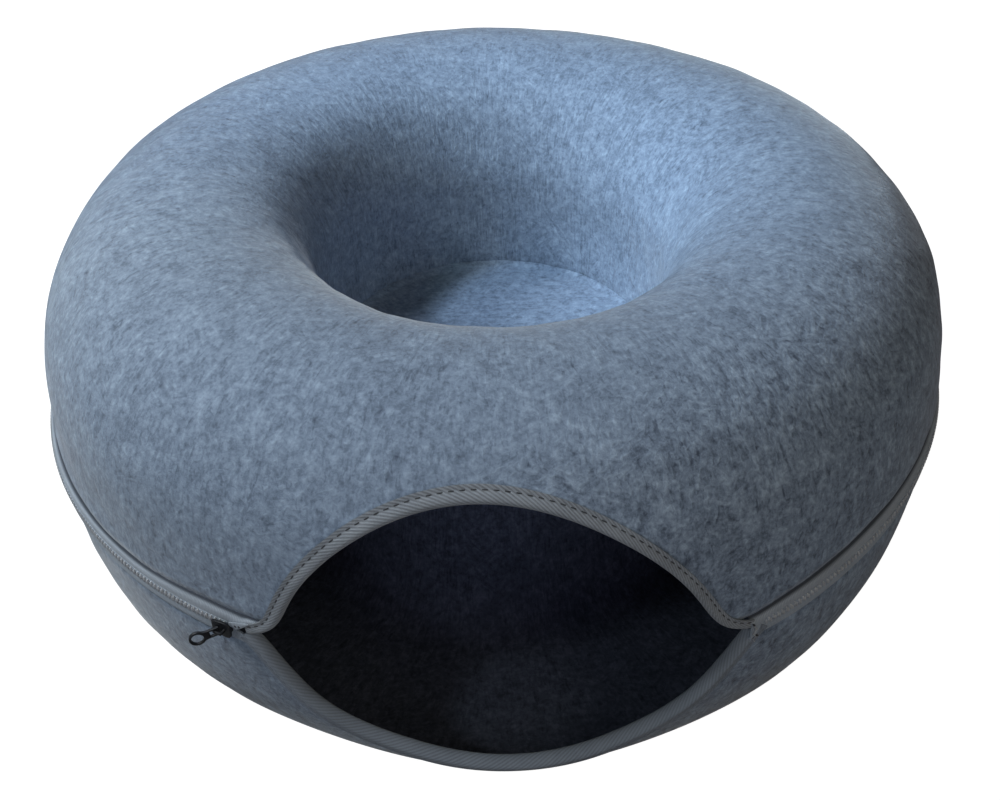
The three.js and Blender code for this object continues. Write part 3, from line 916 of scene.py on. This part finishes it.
DISC_DISH = 0.0010  # it sags by this much in the middle
DISC_RISE = 0.0022  # and its rim turns up where it is sewn in
DISC_TURN = (0.0875, 0.0925)  # radii between which it turns up
DISC_CLEARANCE = 0.0004  # between its edge and the well's wall
DISC_RINGS = 60
DISC_STEPS = 160


def disc_section():
    radius = np.linspace(0, DISC_RADIUS - DISC_CLEARANCE, DISC_RINGS)
    dish = -DISC_DISH * (1 - (radius / DISC_RADIUS) ** 2)
    rim = DISC_RISE * smoothstep(radius, *DISC_TURN)
    top = np.stack([radius, DISC_TOP + dish + rim], axis=-1)
    under = np.stack([radius[::-2], DISC_TOP - FELT + dish[::-2]], axis=-1)
    return np.vstack([top, under[:-1], [[0, under[-1][1]]]])


well_disc = spun("well_disc", disc_section(), DISC_STEPS)
pick(well_disc)
bpy.ops.object.mode_set(mode="EDIT")
bpy.ops.mesh.select_all(action="SELECT")
bpy.ops.mesh.delete_loose()
bpy.ops.object.mode_set(mode="OBJECT")
side, depth, height = points_of(well_disc).T


def disc_lie(lean):
    along = side * math.cos(lean) + depth * math.sin(lean)
    across = depth * math.cos(lean) - side * math.sin(lean)
    return np.stack([across, height, GRAIN_DRAW * along], axis=-1)


comb(well_disc, disc_lie)
smooth(well_disc, FELT_CREASE)
fit_out(well_disc, "felt", felt_outside, stands_for=["well_floor"])

# Twill binding folded over the felt's edge, and its row of stitches

TAPE = 0.001  # thickness of the binding tape
OUTER_WIDTH = 0.0075  # on the visible face
INNER_WIDTH = 0.007  # on the tunnel face
OUTER_REST = -0.00085  # depth of the tape's middle on the visible face
INNER_REST = 0.00575  # and on the tunnel face
FOLD_START = 0.0008  # the fold's round begins this far from the felt's edge
FOLD_REACH = -0.00095  # and its middle reaches this far past it
FOLD_TURN = np.radians(np.arange(-75, 76, 15))
OUTER_POINTS = 12
INNER_POINTS = 7
BINDING_STEPS = 300
EDGE_MARKS = 2400  # places along the opening's edge at which its length is measured
STITCH_LINE = 0.0050  # from the felt's edge
STITCH_PITCH = 0.0048
STITCH_LENGTH = 0.0027
STITCH_RADIUS = 0.00040
STITCH_DIMPLE = 0.00060  # how far a stitch pulls the tape in
STITCH_SLACK = 0.5  # share of the pull that is left between two stitches
STITCH_PULL = 0.0013  # width of that dimple

# Share of the tape's full width along each arch, from its right-hand corner to its left-hand one
UPPER_WIDTHS = ((0, 0.62), (0.2, 0.66), (0.35, 0.84), (0.5, 1), (0.65, 0.95), (0.8, 0.84), (1, 0.7))
LOWER_WIDTHS = ((0, 0.5), (0.5, 0.75), (1, 0.5))


def binding_line():
    """Middle of the folded tape in its section: how far into the felt, and how deep."""
    outer = np.linspace(OUTER_WIDTH, FOLD_START, OUTER_POINTS)
    inner = np.linspace(FOLD_START, INNER_WIDTH, INNER_POINTS)
    middle = (OUTER_REST + INNER_REST) / 2
    fold_across = FOLD_START + (FOLD_REACH - FOLD_START) * np.cos(FOLD_TURN)
    fold_depth = middle + (INNER_REST - OUTER_REST) / 2 * np.sin(FOLD_TURN)
    across = np.concatenate([outer, fold_across, inner])
    depth = np.concatenate([0 * outer + OUTER_REST, fold_depth, 0 * inner + INNER_REST])
    return across, depth


def binding_section():
    """Closed section of the tape, its visible side first, with the length run along it."""
    across, depth = binding_line()
    run_across, run_depth = np.gradient(across), np.gradient(depth)
    span = np.hypot(run_across, run_depth)
    side = TAPE / 2
    off_across, off_depth = side * run_depth / span, -side * run_across / span
    face = np.stack([across - off_across, depth - off_depth], axis=-1)
    back = np.stack([across + off_across, depth + off_depth], axis=-1)
    section = np.vstack([face, back[::-1]])
    closed = np.vstack([section, section[:1]])
    return section, np.concatenate([[0], np.cumsum(np.linalg.norm(np.diff(closed, axis=0), axis=1))])


class BoundEdge:
    """The opening's edge along one half, walked at an even pace."""

    def __init__(self, half, widths):
        arch = half.arch
        self.half = half
        self.widths = np.transpose(widths)
        self.first = math.degrees(math.asin((arch.start / arch.reach) ** (1 / arch.power)))
        self.t = np.linspace(self.first, 180 - self.first, EDGE_MARKS)
        line = self.at(self.t, STITCH_LINE, 0)
        self.run = np.concatenate([[0], np.cumsum(np.linalg.norm(np.diff(line, axis=0), axis=1))])
        self.length = self.run[-1]

    def at(self, t, across, depth):
        """Points beside the edge: across into the felt, and at a depth under its face."""
        probe = 0.5
        angle, distance = self.half.opening_edge(t)
        before, after = self.half.opening_edge(t - probe), self.half.opening_edge(t + probe)
        arc = math.radians(1) * self.half.skin(distance, 0)[0]
        run_angle, run_distance = (after[0] - before[0]) * arc, after[1] - before[1]
        span = np.hypot(run_angle, run_distance)
        share = (t - self.first) / (180 - 2 * self.first)
        step = across * np.where(across > TAPE, np.interp(share, *self.widths), 1)
        turned = angle + run_distance / span * step / arc
        return place(turned, *self.half.skin(distance - run_angle / span * step, depth))

    def walk(self, run):
        return np.interp(run, self.run, self.t)


def stitch_runs(edge):
    count = int((edge.length - STITCH_PITCH) / STITCH_PITCH)
    return (np.arange(count) + 0.5) * edge.length / count


def binding(name, edge):
    section, across = binding_section()
    along = np.linspace(0, edge.length, BINDING_STEPS)
    t = edge.walk(along)[:, None]
    pitch = edge.length / len(stitch_runs(edge))
    pull = 1 - (1 - STITCH_SLACK) * (0.5 + 0.5 * np.cos(math.tau * along / pitch))
    dimple = np.exp(-(((section[:, 0] - STITCH_LINE) / STITCH_PULL) ** 2)) * (section[:, 1] < 0)
    depth = section[:, 1] + STITCH_DIMPLE * pull[:, None] * dimple
    piece = loft(name, edge.at(t, section[None, :, 0], depth), along, across)
    smooth(piece, TAPE_CREASE)
    return piece


def stitch_row(name, edge):
    runs = stitch_runs(edge)
    t, ahead = edge.walk(runs), edge.walk(runs + STITCH_LENGTH / 4)
    depth = OUTER_REST - TAPE / 2 + STITCH_DIMPLE
    here, there = edge.at(t, STITCH_LINE, depth), edge.at(ahead, STITCH_LINE, depth)
    above = edge.at(t, STITCH_LINE, depth - TAPE)
    places = [frame_at(a, b - a, c - a) for a, b, c in zip(here, there, above)]
    return stamped(name, capsule("stitch", STITCH_LENGTH, STITCH_RADIUS), places)


upper_edge = BoundEdge(upper_half, UPPER_WIDTHS)
lower_edge = BoundEdge(lower_half, LOWER_WIDTHS)
upper_binding = binding("upper_binding", upper_edge)
lower_binding = binding("lower_binding", lower_edge)
fit_out(upper_binding, "binding", upper_twill, stands_for=["binding_upper"])
fit_out(lower_binding, "binding", lower_twill, stands_for=["binding_lower"])
upper_stitches = fit_out(stitch_row("upper_stitches", upper_edge), "binding", dark_thread)
lower_stitches = fit_out(stitch_row("lower_stitches", lower_edge), "binding", dull_thread)

# Zip tapes

ZIP_TAPE = 0.0012  # thickness
ZIP_MARGIN = 0.0055  # tucked behind the felt
ZIP_BEHIND = FELT_AT_SEAM + 0.00045  # depth of the tape's face there
ZIP_START = 28.0  # the tapes start on the right-hand ends of the bindings
ZIP_LIFT = 0.0013  # and lie this much higher there
ZIP_TUCK = 0.0034  # at the left-hand ends they run on under the bindings and dive by this much
ZIP_END_RUN = 1.5  # degrees in which they rise or dive
ZIP_BULGE = 0.001  # the tapes' middle stands out of the felt's edges
ZIP_SPLIT = 0.0001  # half the gap between the tapes where the zip is closed
ZIP_PARTED = 0.0011  # and how much it grows in the slider
SLIDER_ANGLE = 328.9
SLIDER_SPREAD = (-0.6, 0.5)  # degrees before and past the slider's middle in which the tapes part
ZIP_STEPS = 380
ZIP_POINTS = 14  # across a tape's face
LOWER_CREVICE = 0.0013  # width of the crevice between the lower tape and its felt
CREVICE_DEPTH = 0.0022  # at which the painted shade in a crevice is full

# Each tape's free margin past the slider, by its half's side: where it starts to run to a tip, where that tip
# is and how far it is from the zip's middle line, and where the tape ends
TapeTip = namedtuple("TapeTip", "start end rise last")
TAPE_TIPS = {1: TapeTip(330.0, 332.4, 0.0078, 334.2), -1: TapeTip(330.2, 332.4, 0.0050, 332.6)}


def tape_split(angle, tip):
    opened = smoothstep(angle - SLIDER_ANGLE, *SLIDER_SPREAD)
    run_out = smoothstep(angle, tip.start, tip.end)
    return ZIP_SPLIT + opened * ZIP_PARTED + run_out * (tip.rise - ZIP_SPLIT - ZIP_PARTED)


def zip_tape(name, half):
    tip = TAPE_TIPS[half.side]

    def section(angle):
        split = tape_split(angle, tip)
        drop, crevice = hang_at(angle) if half.side > 0 else (0, LOWER_CREVICE)
        edge = ZIP_BAND / 2 - drop
        shoulder = edge - min(crevice, (edge - split) / 2)
        radius = ZIP_RADIUS + ZIP_LIFT * (1 - smoothstep(angle - ZIP_START, 0, ZIP_END_RUN))
        radius -= ZIP_TUCK * (1 - smoothstep(tip.last - angle, 0, ZIP_END_RUN))
        face = [
            half.skin(ZIP_MARGIN, ZIP_BEHIND) - np.array([0, drop]),
            half.skin(0, ZIP_BEHIND) - np.array([0, drop]),
            (radius + ZIP_BULGE / 2, ZIP_HEIGHT + half.side * shoulder),
            (radius + ZIP_BULGE, ZIP_HEIGHT + half.side * split),
        ]
        run, line = smooth_line(face, per_span=8)
        even = np.linspace(0, run[-1], ZIP_POINTS)
        face = np.stack([np.interp(even, run, line[:, i]) for i in (0, 1)], axis=-1)
        return np.vstack([face, (face - (ZIP_TAPE, 0))[::-1]]), even

    angles = np.linspace(ZIP_START, tip.last, ZIP_STEPS)
    rows = []
    depths = []
    for angle in angles:
        points, even = section(angle)
        rows.append(place(angle, points[:, 0], points[:, 1]))
        depths.append((ZIP_RADIUS + ZIP_BULGE / 2 - points[:, 0]) / CREVICE_DEPTH)
    across = np.concatenate([even, even[::-1], even[:1]])
    piece = loft(name, np.stack(rows), np.radians(angles) * ZIP_RADIUS, across)
    # Mask for the tape's painted shade: how deep each point lies in the crevice.
    crevice = piece.data.attributes.new("crevice", "FLOAT", "POINT")
    crevice.data.foreach_set("value", np.clip(np.ravel(depths), 0, 1))
    smooth(piece, TAPE_CREASE)
    return piece


upper_tape = zip_tape("upper_zip_tape", upper_half)
lower_tape = zip_tape("lower_zip_tape", lower_half)
fit_out(upper_tape, "zip_tape", zip_weave, stands_for=["zip_tape_upper"])
fit_out(lower_tape, "zip_tape", lit_lower_weave, stands_for=["zip_tape_lower"])

# Coil: two rows of nylon loops that lock into each other

COIL_START = 30.1
COIL_END = SLIDER_ANGLE + 0.25
LOOP_PITCH = 0.0027
LOOP_LENGTH = 0.0030
LOOP_RADIUS = 0.00058
LOOP_SEAT = ZIP_RADIUS + ZIP_BULGE + 0.00040  # radius of the loops' middles
LOOP_SHIFT = 0.0007  # each row's middle lies this far from the zip's middle line
LOOP_SINK = 0.00020  # the lower row lies this much deeper
COIL_BAND = 0.0044  # width of the sewn band under the loops
COIL_BAND_RISE = 0.0004  # of its middle over its edges
COIL_BAND_POINTS = 9
LOOP_SLANT = 10  # degrees


def leaning_place(angle, radius, height, slant):
    """A place on the zip for a thread that leans by a slant from upright."""
    middle = place(angle, radius, height)
    out = place(angle, radius + LOOP_RADIUS, height) - middle
    return frame_at(middle, Matrix.Rotation(math.radians(slant), 3, Vector(out)) @ Vector((0, 0, 1)), out)


def coil_places():
    count = int(math.radians(COIL_END - COIL_START) * LOOP_SEAT / LOOP_PITCH)
    step = (COIL_END - COIL_START) / count
    places = []
    for i in range(2 * count):
        side = 1 if i % 2 else -1
        angle = COIL_START + step * i / 2
        seat, height = LOOP_SEAT - LOOP_SINK * (side < 0), ZIP_HEIGHT + side * LOOP_SHIFT
        places.append(leaning_place(angle, seat, height, LOOP_SLANT))
    return places


def coil_band():
    """Low band of sewing threads that the loops sit on."""
    angles = np.linspace(COIL_START, COIL_END, ZIP_STEPS)
    turn = np.linspace(0, math.pi, COIL_BAND_POINTS)
    rise = COIL_BAND / 2 * np.cos(turn)
    face = ZIP_RADIUS + ZIP_BULGE + COIL_BAND_RISE * np.sin(turn)
    radius = np.concatenate([face, np.full(2, ZIP_RADIUS + ZIP_BULGE - ZIP_TAPE / 2)])
    height = ZIP_HEIGHT + np.concatenate([rise, rise[[-1, 0]]])
    rows = np.stack([place(angle, radius, height) for angle in angles])
    across = np.concatenate([rise, rise[[-1, 0, 0]]])
    piece = loft("coil_band", rows, np.radians(angles) * ZIP_RADIUS, across)
    smooth(piece, TAPE_CREASE)
    return piece


fit_out(coil_band(), "coil", band_weave)
zip_coil = stamped("coil_loops", capsule("loop", LOOP_LENGTH, LOOP_RADIUS), coil_places())
fit_out(zip_coil, "coil", nylon, stands_for=["zip_coil"])

# Ends of the zip: the upper tape's end folded over beside the slider, and the tack that holds the other end

FLAP_SEAT = ZIP_RADIUS + ZIP_BULGE + 0.0009  # radius of the flap's face
FLAP_BOW = 0.0002  # its middle stands out by this much
FLAP_ANGLES = (329.5, 330.3, 331.2, 332.2)
FLAP_LOW = (-0.0012, -0.0002, 0.0026, 0.0066)  # its lower margin at these angles, from the zip's middle line
FLAP_HIGH = (0.0030, 0.0044, 0.0058, 0.0074)  # and its upper margin
FLAP_STEPS = 24
FLAP_POINTS = 8

# Threads at the zip's ends: rise from the zip's middle line, and lift off the tape
EndThread = namedtuple("EndThread", "angle slant rise lift")
FLAP_STITCHES = (EndThread(330.42, 60, 0.0026, 0.0008), EndThread(330.92, 60, 0.0032, 0.0008))
FLAP_STITCH_SIZE = (0.0014, 0.00055)  # length and radius
TACK = (
    EndThread(28.30, 25, 0.0014, 0.0014),
    EndThread(28.42, -35, -0.0014, 0.0014),
    EndThread(28.32, 30, -0.0042, 0.0014),
    EndThread(28.60, -30, -0.0070, 0.0007),
    EndThread(28.50, 28, -0.0096, 0.0004),
)
TACK_SIZE = (0.0034, 0.00030)
KNOTS = (EndThread(28.15, 40, 0.0030, 0.0014), EndThread(28.78, 50, -0.0060, 0.0010))
KNOT_SIZE = (0.0018, 0.00050)
END_SEAT = ZIP_RADIUS + ZIP_BULGE + 0.00030  # radius of such a thread that isn't lifted


def tape_flap():
    angles = np.linspace(FLAP_ANGLES[0], FLAP_ANGLES[-1], FLAP_STEPS)
    bow = FLAP_BOW * np.sin(np.linspace(0, math.pi, FLAP_POINTS))
    rows = []
    for angle in angles:
        low, high = (np.interp(angle, FLAP_ANGLES, margin) for margin in (FLAP_LOW, FLAP_HIGH))
        rise = np.linspace(low, high, FLAP_POINTS)
        face = np.stack([FLAP_SEAT + bow, ZIP_HEIGHT + rise], axis=-1)
        section = np.vstack([face, (face - (ZIP_TAPE / 2, 0))[::-1]])
        rows.append(place(angle, section[:, 0], section[:, 1]))
    across = np.concatenate([rise, rise[::-1], rise[:1]])
    piece = loft("tape_flap", np.stack(rows), np.radians(angles) * ZIP_RADIUS, across)
    smooth(piece, TAPE_CREASE)
    return piece


def end_threads(name, threads, size, material):
    places = []
    for row in threads:
        places.append(leaning_place(row.angle, END_SEAT + row.lift, ZIP_HEIGHT + row.rise, row.slant))
    return fit_out(stamped(name, capsule("thread", *size), places), "zip_tape", material)


tape_end = fit_out(tape_flap(), "zip_tape", zip_weave)
flap_stitches = end_threads("flap_stitches", FLAP_STITCHES, FLAP_STITCH_SIZE, dark_thread)
end_tack = end_threads("end_tack", TACK, TACK_SIZE, grey_thread)
tack_knots = end_threads("tack_knots", KNOTS, KNOT_SIZE, dark_thread)

# Slider and pull

SLIDER_EDGE = 0.00035  # width of the rounded edges
PULL_EDGE = 0.00030
EDGE_SEGMENTS = 3
FACET_TURN = math.radians(3)  # faces of the solids that turn by less are one face


def cast(name, node, edge):
    """A cast metal piece: a copy of its solid with merged faces and rounded edges."""
    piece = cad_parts[node].copy()
    piece.data = piece.data.copy()
    piece.name = piece.data.name = name
    piece.parent = None
    for key in list(piece.keys()):
        del piece[key]
    bpy.context.scene.collection.objects.link(piece)
    piece.data.materials.clear()
    close_up(piece)
    bpy.ops.object.mode_set(mode="EDIT")
    bpy.ops.mesh.select_all(action="SELECT")
    bpy.ops.mesh.dissolve_limited(angle_limit=FACET_TURN)
    bpy.ops.object.mode_set(mode="OBJECT")
    rounding = {"width": edge, "segments": EDGE_SEGMENTS}
    apply_modifier(piece, "BEVEL", limit_method="ANGLE", angle_limit=math.radians(CAST_CREASE), **rounding)
    smooth(piece, CAST_CREASE)
    return piece


zip_slider = cast("slider", "zip_slider", SLIDER_EDGE)
zip_pull = cast("pull_tab", "zip_pull", PULL_EDGE)
fit_out(zip_slider, "black_metal", enamel, stands_for=["zip_slider"])
fit_out(zip_pull, "black_metal", enamel, stands_for=["zip_pull"])

# Studio: pale floor, soft light and the camera

PICTURE_WIDTH = 1000  # pixels
FOCAL = 1536.06  # pixels
ELEVATION = math.radians(37.77)
ROLL = math.radians(1.63)
CAMERA_REACH = 0.91131
TARGET = Vector((AXIS.x, AXIS.y, 0.07909))
LENS_CENTRE = (493.54, 388.08)  # pixels
PICTURE_CENTRE = (500, 400)  # pixels
SENSOR_WIDTH = 36  # millimetres

FLOOR_SIZE = 30
FLOOR_GLOW = 1.0  # what the camera sees of it beside its own grey
FLOOR_GRAIN = Pattern(8, 3, 0.6)
FLOOR_DARK = (0.20, 0.20, 0.20, 1)
FLOOR_LIGHT = (0.22, 0.22, 0.22, 1)

# Soft lamps on the whole bed. Azimuth 0 is in front of the bed and 90 to its right, in degrees.
Lamp = namedtuple("Lamp", "name azimuth elevation size energy colour")
LAMP_REACH = 2.0
LAMPS = (
    Lamp("key_light", -80, 50, 0.2, 13.1, (0.92, 0.96, 1.0)),
    Lamp("window_light", -105, 42, 0.2, 11.2, (0.95, 1.0, 0.98)),
    Lamp("left_light", -50, 35, 0.2, 4.9, (0.97, 1.0, 0.95)),
    Lamp("back_light", -135, 58, 0.4, 11.2, (0.82, 0.89, 1.0)),
    Lamp("low_light", 0, 20, 0.7, 2.2, (0.95, 0.86, 1.0)),
    Lamp("right_light", 45, 36, 0.7, 5.1, (1.0, 0.89, 0.69)),
    Lamp("low_right_light", 35, 10, 0.5, 1.2, (0.92, 0.95, 1.0)),
)

# Narrow lamps on one place each, with the whole angle of their cone
Beam = namedtuple("Beam", "name azimuth elevation cone energy colour aim")
BEAM_REACH = 1.3
BEAM_SIZE = 0.08
WELL_AIM = (0.045, 0.075, 0.185)
BEAMS = (
    Beam("well_light", -60, 45, 16, 9.6, (0.72, 1.0, 0.97), WELL_AIM),
    Beam("bowl_light", -80, 32, 9, 28, (0.85, 0.93, 1.0), (0.050, 0.085, 0.180)),
    Beam("sky_light", -90, 50, 17, 27.7, (0.36, 0.64, 1.0), WELL_AIM),
    Beam("crown_light", -118, 36, 15, 20, (0.66, 0.85, 1.0), (0.135, 0.000, 0.210)),
    Beam("shoulder_light", -100, 30, 9, 34, (1.0, 0.91, 0.70), (-0.205, -0.060, 0.200)),
    Beam("tunnel_light", 0, 12, 8, 13, (0.88, 0.94, 1.0), (-0.015, -0.16, 0.122)),
)


def camera():
    back = Vector((0, -math.cos(ELEVATION), math.sin(ELEVATION)))
    right = Vector((1, 0, 0))
    up = back.cross(right)
    right, up = (
        right * math.cos(ROLL) - up * math.sin(ROLL),
        right * math.sin(ROLL) + up * math.cos(ROLL),
    )
    lens = bpy.data.cameras.new("camera")
    lens.sensor_width = SENSOR_WIDTH
    lens.lens = FOCAL * SENSOR_WIDTH / PICTURE_WIDTH
    lens.shift_x = (PICTURE_CENTRE[0] - LENS_CENTRE[0]) / PICTURE_WIDTH
    lens.shift_y = (LENS_CENTRE[1] - PICTURE_CENTRE[1]) / PICTURE_WIDTH
    shot = bpy.data.objects.new("camera", lens)
    turn = Matrix((right, up, back)).transposed().to_4x4()
    shot.matrix_world = Matrix.Translation(TARGET + back * CAMERA_REACH) @ turn
    bpy.context.scene.collection.objects.link(shot)
    bpy.context.scene.camera = shot


def set_up(light, row, aim, reach):
    """Puts a light on its stand and aims it."""
    turn, rise = math.radians(row.azimuth), math.radians(row.elevation)
    back = Vector((math.sin(turn) * math.cos(rise), -math.cos(turn) * math.cos(rise), math.sin(rise)))
    light.energy = row.energy
    light.color = row.colour
    stand = bpy.data.objects.new(row.name, light)
    facing = back.to_track_quat("Z", "Y").to_matrix().to_4x4()
    stand.matrix_world = Matrix.Translation(aim + back * reach) @ facing
    bpy.context.scene.collection.objects.link(stand)


def studio_light():
    for row in LAMPS:
        light = bpy.data.lights.new(row.name, "AREA")
        light.size = row.size
        set_up(light, row, TARGET, LAMP_REACH)
    for row in BEAMS:
        light = bpy.data.lights.new(row.name, "SPOT")
        light.spot_size = math.radians(row.cone)
        light.spot_blend = 1
        light.shadow_soft_size = BEAM_SIZE
        set_up(light, row, Vector(row.aim), BEAM_REACH)


def pale_floor():
    """A white sweep for the camera that throws only a little light back on the bed."""
    start_clean()
    bpy.ops.mesh.primitive_plane_add(size=FLOOR_SIZE)
    floor = bpy.context.object
    floor.name = "floor"
    material, tree, shader = finish("pale_floor", Roughness=0.9, Specular_IOR_Level=0.0)
    grain = noise(tree, bed_place(tree), FLOOR_GRAIN)
    tree.links.new(mixed(tree, grain, FLOOR_DARK, FLOOR_LIGHT), shader.inputs["Base Color"])
    glow = add(tree, "Emission", {"Color": (1, 1, 1, 1), "Strength": FLOOR_GLOW})
    seen = add(tree, "AddShader", {0: shader.outputs[0], 1: glow.outputs[0]})
    eye = add(tree, "LightPath").outputs["Is Camera Ray"]
    surface = add(tree, "MixShader", {0: eye, 1: shader.outputs[0], 2: seen.outputs[0]})
    tree.links.new(surface.outputs[0], tree.nodes["Material Output"].inputs["Surface"])
    floor.data.materials.append(material)


def dark_room():
    """A room with no light but the lamps."""
    world = bpy.data.worlds.new("room")
    world.use_nodes = True
    world.node_tree.nodes["Background"].inputs["Strength"].default_value = 0.0
    bpy.context.scene.world = world
    bpy.context.scene.view_settings.view_transform = "Standard"


camera()
pale_floor()
dark_room()
studio_light()
